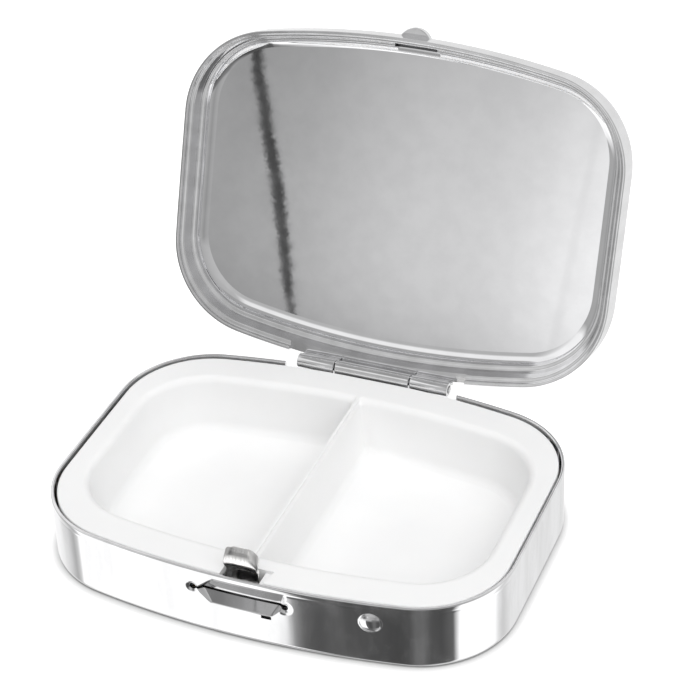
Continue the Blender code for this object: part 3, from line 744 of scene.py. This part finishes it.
def makeCatch(finish):
    pivot = Vector(joints["catch_pivot"]["pos_m"])
    half = (catchHigh.x - catchLow.x) / 2
    bendCentre = (pivot.y + catch["bend"], pivot.z + catch["bend"])
    bend = arcPoints(bendCentre, catch["bend"], -math.pi / 2, -math.pi, catch["bendSteps"])
    path = [(catchHigh.y, pivot.z), *bend]
    for step in range(catch["hookSteps"] + 1):
        share = step / catch["hookSteps"]
        if share < catch["noseAt"]:
            forward = catch["nose"] * (1 - math.cos(math.pi * share / catch["noseAt"])) / 2
        else:
            beyond = (share - catch["noseAt"]) / (1 - catch["noseAt"])
            forward = catch["nose"] - (catch["nose"] + catch["lean"]) * beyond**2
        path.append((pivot.y - forward, catchHigh.z - catch["hook"] * (1 - share)))
    bm = bmesh.new()
    bmesh.ops.create_grid(bm, x_segments=catch["columns"], y_segments=len(path) - 1, size=1)
    hookFrom = catchHigh.z - catch["hook"]
    for vert in bm.verts:
        x = vert.co.x * half
        point = path[round((vert.co.y + 1) / 2 * (len(path) - 1))]
        over = max(abs(x) - (half - catch["corner"]), 0)
        drop = catch["corner"] - math.sqrt(max(catch["corner"] ** 2 - over**2, 0))
        z = point[1]
        if z > hookFrom:
            z = hookFrom + (z - hookFrom) * (1 - drop / catch["hook"])
        vert.co = (x, point[0], z)
    body = makeObject("catchSpring", bm)
    solid = body.modifiers.new("sheet", "SOLIDIFY")
    solid.thickness = catch["sheet"]
    solid.offset = 0
    bevel = body.modifiers.new("edges", "BEVEL")
    bevel.width = catch["edgeRound"]
    bevel.segments = 3
    bevel.limit_method = "ANGLE"
    bakeModifiers(body, catch["sharpAngle"])
    dress(body, "catch_spring", "catch", finish)
    print("catch done")


# lid

lid = {
    "height": 6.147 * mm,
    "hem": 0.45 * mm,
    "hemRound": 0.16 * mm,
    "stepDepth": 0.5 * mm,
    "stepWidth": 0.45 * mm,
    "ledgeInset": 1.3 * mm,
    "ledgeWidth": 0.45 * mm,
    "ledgeDepth": 2.0 * mm,
    "flangeInset": 2.1 * mm,
    "flangeWidth": 1.2 * mm,
    "flangeDepth": 4.1 * mm,
    "pressSteps": 5,  # of each rounded corner of the section
    "skirt": 2.9 * mm,  # the straight part of the outer wall
    "shoulder": 2.3 * mm,
    "shoulderSteps": 16,
    "border": 1.3 * mm,
    "shift": 0.48 * mm,  # how far the inside sits forward
    "tabWidth": 3.7 * mm,
    "tabReach": 1.07 * mm,
    "tabSheet": 1.0 * mm,
    "tabUp": 2.4 * mm,
    "tabRound": 0.16 * mm,
    "tabRoundSteps": 6,
    "tabSteps": 32,
    "slotEnds": (-2.25 * mm, 3.1 * mm),
    "slotBack": -17.93 * mm,
    "slotRise": 1.2 * mm,
    "rimSlotRise": 1.42 * mm,  # of the same slot in the liner's rim
    "sideKnuckle": 4.8 * mm,
    "sideGap": 0.2 * mm,
}


def innerShift(inset):  # with its inside forward, the lid's rear border is the wider one
    share = (inset - lid["hem"]) / (lid["flangeInset"] - lid["hem"])
    return -lid["shift"] * min(max(share, 0), 1)


def makeLid(finish, slitShadeFinish):
    shoulder = []
    for step in range(lid["shoulderSteps"] + 1):
        turn = math.pi / 2 * step / lid["shoulderSteps"]
        rise = (lid["height"] - lid["skirt"]) * math.sin(turn)
        shoulder.append((lid["shoulder"] * (1 - math.cos(turn)), lid["skirt"] + rise))
    shell = [(0.0, lid["hemRound"]), *shoulder, (lid["shoulder"] + lid["border"], lid["height"])]
    lining = [
        (lid["hem"], 0.0),
        (lid["hem"], lid["stepDepth"]),
        (lid["hem"] + lid["stepWidth"], lid["stepDepth"]),
        (lid["ledgeInset"], lid["ledgeDepth"]),
        (lid["ledgeInset"] + lid["ledgeWidth"], lid["ledgeDepth"]),
        (lid["flangeInset"], lid["flangeDepth"]),
        (lid["flangeInset"] + lid["flangeWidth"], lid["flangeDepth"]),
    ]
    backs = [(point.x, point.y) for point in offsetPath(lining, sheet)[2:]]
    hem = [(0.0, lid["hemRound"]), (0.0, 0.0)]
    seen = softenPath([*hem, *lining], lid["hemRound"], lid["pressSteps"])
    shellBack = [(point.x, point.y) for point in offsetPath(shell, -sheet)[1:]]
    section = [(point.x, point.y, innerShift(point.x)) for point in seen]
    section += [(inset, height, innerShift(inset)) for inset, height in reversed(backs)]
    section += [(sheet, lid["stepDepth"] + sheet, 0.0)]
    section += [(inset, height, 0.0) for inset, height in shellBack]
    section += [(inset, height, 0.0) for inset, height in reversed(shell[1:])]
    rings = [wholeOutline(inset, hemZ + height, shift) for inset, height, shift in section]
    body = extrudeRings("lidFrame", rings, closed=True)
    body.data.materials.append(finish)
    shapeWith(body, [thumbTab()], "UNION")
    lintel = hinge.z + pan["knuckleRadius"] + seatGap
    low = Vector((-pan["windowHalf"] - seatGap, backY - lid["flangeInset"], hemZ - cutReach))
    window = boxAt("window", low, Vector((pan["windowHalf"] + seatGap, backY + cutReach, lintel)))
    slot = catchSlot(lid["slotRise"])
    # the faces cut for the catch slot take the dark painted shade too
    slot.data.materials.append(slitShadeFinish)
    shapeWith(body, [slot, window], "DIFFERENCE")
    inner = pan["centreKnuckle"] / 2 + lid["sideGap"]
    outer = inner + lid["sideKnuckle"]
    for start, end in ((-outer, -inner), (inner, outer)):
        low = Vector((start, backY - sheet, hinge.z + pan["knuckleRadius"] * pan["strapShare"]))
        strap = boxAt("strap", low, Vector((end, backY, lintel + sheet)))
        shapeWith(body, [strap, knuckle(start, end)], "UNION")
    weightNormals(body)
    keepPlaces(body)
    openLid(body)
    dress(body, "lid_frame", "lid", finish)
    print("lid done")


def catchSlot(rise):  # the opening that takes the tongue of the catch
    front = frontY + lid["ledgeInset"] + innerShift(lid["ledgeInset"])
    ledge = hemZ + lid["ledgeDepth"]
    left, right = lid["slotEnds"]
    low = Vector((left, front, ledge - sheet))
    return boxAt("slot", low, Vector((right, lid["slotBack"], ledge + rise)))


def thumbTab():
    half = lid["tabWidth"] / 2
    radius = (half**2 + lid["tabReach"] ** 2) / (2 * lid["tabReach"])
    centre = (0, frontY - lid["tabReach"] + radius)
    spread = math.asin(half / radius)
    root = frontY + sheet / 2
    soft, steps = lid["tabRound"], lid["tabRoundSteps"]
    edge = arcPoints((soft, soft), soft, -math.pi / 2, -math.pi, steps)
    levels = edge + [(trim, lid["tabSheet"] - rise) for trim, rise in reversed(edge)]
    start, end = -math.pi / 2 - spread, -math.pi / 2 + spread
    rings = []
    for trim, rise in levels:
        points = arcPoints(centre, radius - trim, start, end, lid["tabSteps"])
        points += [(points[-1][0], root), (points[0][0], root)]
        rings.append([Vector((x, y, hemZ + lid["tabUp"] + rise)) for x, y in points])
    return extrudeRings("thumbTab", rings)


# liner and face

liner = {
    "sheet": 0.3 * mm,
    "edge": 1.94 * mm,
    "rimInner": 2.88 * mm,
    "rimSlopes": (18, 40),  # degrees, at the panel and at the edge
    "rimCurve": 1.8,  # higher keeps the rim flat for longer
    "rimSlide": 0.15 * mm,
    "rimSteps": 12,
}


def linerShift(inset):  # the rim is wider at the hinge than at the front
    share = (inset - liner["edge"]) / (liner["rimInner"] - liner["edge"])
    return innerShift(liner["edge"]) - liner["rimSlide"] * min(max(share, 0), 1)


def makeLiner(finish):
    base = lid["flangeDepth"] - seatGap - liner["sheet"]
    rim = [(liner["rimInner"], base)]
    width = (liner["rimInner"] - liner["edge"]) / liner["rimSteps"]
    low, high = liner["rimSlopes"]
    for step in range(liner["rimSteps"]):
        share = (step + 0.5) / liner["rimSteps"]
        slope = math.radians(low + (high - low) * share ** liner["rimCurve"])
        rim.append((rim[-1][0] - width, rim[-1][1] - width * math.tan(slope)))
    backs = [(point.x, point.y) for point in offsetPath(rim, -liner["sheet"])]
    flat = [(liner["rimInner"], base), (liner["rimInner"], base + liner["sheet"])]
    panelRings, rimRings = (
        [wholeOutline(inset, hemZ + height, linerShift(inset)) for inset, height in section]
        for section in (flat, [*rim, *reversed(backs)])
    )
    panel = extrudeRings("linerPanel", panelRings)
    border = extrudeRings("linerRim", rimRings, closed=True)
    shapeWith(border, [catchSlot(lid["rimSlotRise"])], "DIFFERENCE")
    for piece in (panel, border):
        openLid(piece)
        dress(piece, "liner_plate", "lid", finish)
    print("liner done")


face = {
    "sheet": 0.5 * mm,
    "grip": 0.6 * mm,  # how far it reaches under the lid's border
    "tones": ((0.74, 0.74, 0.75), (0.66, 0.66, 0.67)),
    "roughness": (0.22, 0.38),
    "lines": ((40, 4200, 4200), 3),
    "lineDepth": 0.0006 * mm,
}


def makeFace(finish):
    edge = lid["shoulder"] + lid["border"] - face["grip"]
    top = hemZ + lid["height"] - sheet - seatGap
    body = extrudeRings("facePlate", [wholeOutline(edge, z) for z in (top - face["sheet"], top)])
    openLid(body)
    dress(body, "face_plate", "lid", finish)
    print("face done")


# studio

view = {
    "azimuth": 23.1235,  # degrees, to the right of the front
    "elevation": 34.5131,
    "roll": -2.4731,
    "distance": 270.58 * mm,
    "sideways": -4.54 * mm,
    "upwards": -20.95 * mm,
    "lens": 118.38,
    "sensor": 36,
    "clipStart": 10 * mm,
}


def makeCamera():
    azimuth, elevation, roll = (math.radians(view[key]) for key in ("azimuth", "elevation", "roll"))
    out = math.cos(elevation)
    back = Vector((math.sin(azimuth) * out, -math.cos(azimuth) * out, math.sin(elevation)))
    level = Vector((math.cos(azimuth), math.sin(azimuth), 0))
    upright = back.cross(level)
    right = level * math.cos(roll) + upright * math.sin(roll)
    up = upright * math.cos(roll) - level * math.sin(roll)
    camera = bpy.data.objects.new("camera", bpy.data.cameras.new("camera"))
    place = back * view["distance"] - right * view["sideways"] - up * view["upwards"]
    camera.matrix_world = Matrix((right, up, back)).transposed().to_4x4()
    camera.location = place
    camera.data.lens = view["lens"]
    camera.data.sensor_width = view["sensor"]
    camera.data.clip_start = view["clipStart"]
    bpy.context.scene.collection.objects.link(camera)
    bpy.context.scene.camera = camera


# what the polished sheet mirrors: each band is a list of (azimuth in degrees from the front, brightness)
studio = {
    "fill": 0.35,  # the even light from all round, which the mirrors don't show
    "bands": [  # from the ground up
        [
            (-180, 0.75), (-150, 0.7), (-110, 0.8), (-80, 0.66), (-70, 0.46), (-57, 0.32), (-40, 0.24),
            (-30, 0.16), (-20, 0.14), (0, 0.13), (20, 0.23), (60, 0.6), (100, 0.9), (180, 0.75),
        ],
        [
            (-180, 0.85), (-150, 1.1), (-110, 1.03), (-94, 0.8), (-80, 0.5), (-73, 0.75), (-69, 1.3),
            (-20, 1.3), (-18, 0.16), (-16.5, 0.11), (-13.5, 0.095), (-11.8, 0.15), (-10, 0.1), (-2, 0.075),
            (6, 0.09), (13, 0.15), (21, 0.16), (30, 0.1), (42, 0.08), (56, 0.14), (64, 1.3), (112, 1.3),
            (119, 0.92), (126, 0.75), (141, 0.95), (165, 0.88), (180, 0.85),
        ],
        [
            (-180, 0.95), (-90, 0.6), (-75, 0.32), (-62, 0.6), (-45, 1.1), (-35, 0.85), (-27, 0.7),
            (-18, 0.6), (-8, 0.5), (3, 0.5), (12, 0.22), (48, 0.18), (62, 0.85), (100, 0.9), (150, 0.83),
            (180, 0.9),
        ],
        [
            (-180, 0.85), (-90, 0.6), (-75, 0.34), (-60, 0.42), (-45, 0.4), (-36, 0.27), (-27, 0.27),
            (-24, 0.45), (-10, 0.58), (2, 0.45), (15, 0.4), (28, 0.32), (60, 0.46), (100, 0.6),
            (140, 0.85), (180, 0.85),
        ],
        [
            (-180, 0.9), (-120, 1.0), (-90, 1.0), (-60, 0.98), (-45, 0.95), (-36, 0.65), (-28, 0.47),
            (-15, 0.5), (0, 0.54), (15, 0.5), (60, 0.42), (100, 0.65), (160, 0.95), (180, 0.9),
        ],
        [
            (-180, 0.95), (-145, 0.98), (-120, 0.84), (-90, 0.9), (-60, 0.9), (-40, 0.92), (-25, 0.92),
            (-14, 0.85), (-4, 0.5), (15, 0.48), (60, 0.4), (100, 0.65), (160, 0.9), (180, 0.95),
        ],
        [
            (-180, 0.75), (-150, 0.48), (-115, 0.4), (-50, 0.36), (-15, 0.42), (15, 0.36), (60, 0.35),
            (90, 0.5), (180, 0.75),
        ],
        [(-180, 0.38), (180, 0.38)],
    ],
    # elevations over which each band passes into the next
    "edges": [(-64, -55), (-24, -13), (-12, -8), (11, 17), (37, 42), (54, 59), (74, 82)],
    "panelBand": 3,  # the band with the pale panel that the liner mirrors
    "panelMiddle": -24,
    "panelHalf": (12, 13.5),
    "panel": [
        (-37, 0.25), (-28.5, 0.25), (-25.8, 0.37), (-22.6, 0.38), (-22, 0.41), (-21, 0.45), (-20.5, 0.49),
        (-19.5, 0.565), (-18, 0.65), (-16.5, 0.69), (-15.5, 0.75), (-14.6, 0.85), (-14.15, 0.9),
        (-14.0, 0.82), (-13.85, 0.91), (-13.5, 0.95), (-11, 0.95),
    ],
    "panelHeights": [  # (elevation, brightness)
        (-9, 0.8), (-6, 0.6), (1.5, 0.6), (3, 0.66), (3.8, 0.84), (4.6, 0.95), (5.4, 1), (7.0, 1),
        (7.8, 0.96), (9.0, 0.92), (10.6, 0.84), (11, 1.0), (15, 1.0),
    ],
    "streak": [(-0.75, 1), (-0.17, 0.97), (-0.1, 0.2), (0.08, 0.12), (0.15, 1.02), (0.75, 1)],
    "streakFrom": (-20.45, 3.84),  # azimuth and elevation of its lower end
    "streakLean": 0.35,
    "streakWidth": [  # (elevation, how wide)
        (3.5, 0.6), (4.0, 0.8), (4.45, 1.1), (5.75, 1.15), (6.5, 1.35), (9.0, 1.25), (9.8, 1.1),
        (10.5, 0.7),
    ],
    "streakBend": [  # (elevation, degrees sideways)
        (3.5, 0.147), (4.1, 0.157), (5.3, 0.114), (6.6, 0.1), (7.4, 0.153), (7.9, 0.203), (8.4, 0.188),
        (9.2, 0.259), (9.7, 0.239), (10.0, 0.195), (10.25, 0.13), (10.45, 0.04), (10.6, 0.0),
    ],
    "streakGrain": (900, 2),  # makes its edges ragged
    "grainReach": 0.06,
}


def makeWorld():
    world = bpy.data.worlds.new("studio")
    world.use_nodes = True
    bpy.context.scene.world = world
    tree = world.node_tree
    direction = tree.nodes.new("ShaderNodeTexCoord").outputs["Generated"]
    split = tree.nodes.new("ShaderNodeSeparateXYZ")
    tree.links.new(direction, split.inputs["Vector"])
    forward = addMath(tree, "MULTIPLY", split.outputs["Y"], -1)
    azimuth = addMath(tree, "DEGREES", addMath(tree, "ARCTAN2", split.outputs["X"], forward))
    elevation = addMath(tree, "DEGREES", addMath(tree, "ARCSINE", split.outputs["Z"]))
    bands = [addRamp(tree, azimuth, stops) for stops in studio["bands"]]
    sideways = addRamp(tree, azimuth, studio["panel"])
    upwards = addRamp(tree, elevation, studio["panelHeights"])
    panel = mixColours(tree, 1, sideways, upwards, "MULTIPLY")
    panel = mixColours(tree, 1, panel, makeStreak(tree, direction, azimuth, elevation), "MULTIPLY")
    offMiddle = addMath(tree, "SUBTRACT", azimuth, studio["panelMiddle"])
    inPanel = remap(tree, addMath(tree, "ABSOLUTE", offMiddle), 1, 0, studio["panelHalf"])
    panelBand = studio["panelBand"]
    bands[panelBand] = mixColours(tree, inPanel, bands[panelBand], panel)
    mirrored = bands[0]
    for band, edge in zip(bands[1:], studio["edges"]):
        mirrored = mixColours(tree, remap(tree, elevation, 0, 1, edge), mirrored, band)
    path = tree.nodes.new("ShaderNodeLightPath")
    lit = mixColours(tree, path.outputs["Is Glossy Ray"], studio["fill"], mirrored)
    seen = mixColours(tree, path.outputs["Is Camera Ray"], lit, 1)
    tree.links.new(seen, tree.nodes["Background"].inputs["Color"])


def makeStreak(tree, direction, azimuth, elevation):  # the dark streak that leans through the panel
    startAzimuth, startElevation = studio["streakFrom"]
    climb = addMath(tree, "SUBTRACT", elevation, startElevation)
    lean = addMath(tree, "MULTIPLY", climb, studio["streakLean"])
    across = addMath(tree, "SUBTRACT", addMath(tree, "ADD", azimuth, lean), startAzimuth)
    across = addMath(tree, "ADD", across, addRamp(tree, elevation, studio["streakBend"]))
    grain = noise(tree, direction, *studio["streakGrain"])
    across = addMath(tree, "ADD", across, remap(tree, grain, -studio["grainReach"], studio["grainReach"]))
    across = addMath(tree, "DIVIDE", across, addRamp(tree, elevation, studio["streakWidth"]))
    return addRamp(tree, across, studio["streak"])


ground = {
    "radius": 3,
    "gap": 0.02 * mm,  # under the base
    "paint": ((0.9, 0.9, 0.9), (0.905, 0.905, 0.905)),
    "patches": (3, 2),
    "paintedShadowReach": 2.4 * mm,  # how far the painted contact shadow round the foot spreads
    # AO values over which the floor passes from the painted contact shadow to its own colour
    "paintedShadowSpan": (0.3, 0.85),
    # painted contact shadow: the grey the floor darkens to right by the foot
    "paintedShadowDark": 0.4,
    "glow": 0.55,  # keeps the floor white to the camera, and fades in the painted contact shadow by the foot
}


def makeFloor():
    bm = bmesh.new()
    bmesh.ops.create_circle(bm, cap_ends=True, segments=64, radius=ground["radius"])
    bmesh.ops.translate(bm, vec=(0, 0, cadLow.z - ground["gap"]), verts=bm.verts)
    floor = makeObject("floor", bm)
    finish, tree, shader, coords = newFinish("paleFloor")
    shader.inputs["Roughness"].default_value = 1
    shader.inputs["Specular IOR Level"].default_value = 0
    path = tree.nodes.new("ShaderNodeLightPath")
    # painted contact shadow: the AO node darkens the floor's colour and fades its glow close to the base
    paintedShadowAO = tree.nodes.new("ShaderNodeAmbientOcclusion")
    paintedShadowAO.inputs["Distance"].default_value = ground["paintedShadowReach"]
    paint = mixColours(tree, noise(tree, coords, *ground["patches"]), *ground["paint"])
    # free is 1 away from the base and 0 in the painted contact shadow
    free = remap(tree, paintedShadowAO.outputs["AO"], 0, 1, ground["paintedShadowSpan"])
    tree.links.new(mixColours(tree, free, ground["paintedShadowDark"], paint), shader.inputs["Base Color"])
    glow = addMath(tree, "MULTIPLY", free, ground["glow"])
    glow = addMath(tree, "MULTIPLY", glow, path.outputs["Is Camera Ray"])
    shader.inputs["Emission Color"].default_value = (1, 1, 1, 1)
    tree.links.new(glow, shader.inputs["Emission Strength"])
    floor.data.materials.append(finish)
    floor.visible_glossy = False


lamps = {
    "softbox": {"place": (0.10, -0.12, 0.6), "size": 1.3, "watts": 4.8},
    "sideLamp": {"place": (0.40, -0.33, 0.30), "size": 0.6, "watts": 0.7},
}


def makeLamp(name):  # looks at the origin
    lamp = bpy.data.objects.new(name, bpy.data.lights.new(name, "AREA"))
    lamp.data.shape = "DISK"
    lamp.data.size = lamps[name]["size"]
    lamp.data.energy = lamps[name]["watts"]
    place = Vector(lamps[name]["place"])
    lamp.location = place
    lamp.rotation_euler = (-place).to_track_quat("-Z", "Y").to_euler()
    lamp.visible_glossy = False
    bpy.context.scene.collection.objects.link(lamp)


makeCamera()
makeWorld()
makeFloor()
for lampName in lamps:
    makeLamp(lampName)
bpy.context.scene.view_settings.view_transform = "Standard"
print("studio done")

chromeSheet = chromeFinish()
# painted shade for the faces cut through the sheet of the pan and the lid
paintedSlitShadeMaterial = paintedSlitShadeFinish()
makePan(chromeSheet, paintedSlitShadeMaterial)
makeLid(chromeSheet, paintedSlitShadeMaterial)
makeLiner(linerFinish())
makeFace(steelFinish("satinPlate", face))
makeCatch(steelFinish("springSteel", catch))
makePin(steelFinish("pinSteel", pin))
makeTray(plasticFinish())
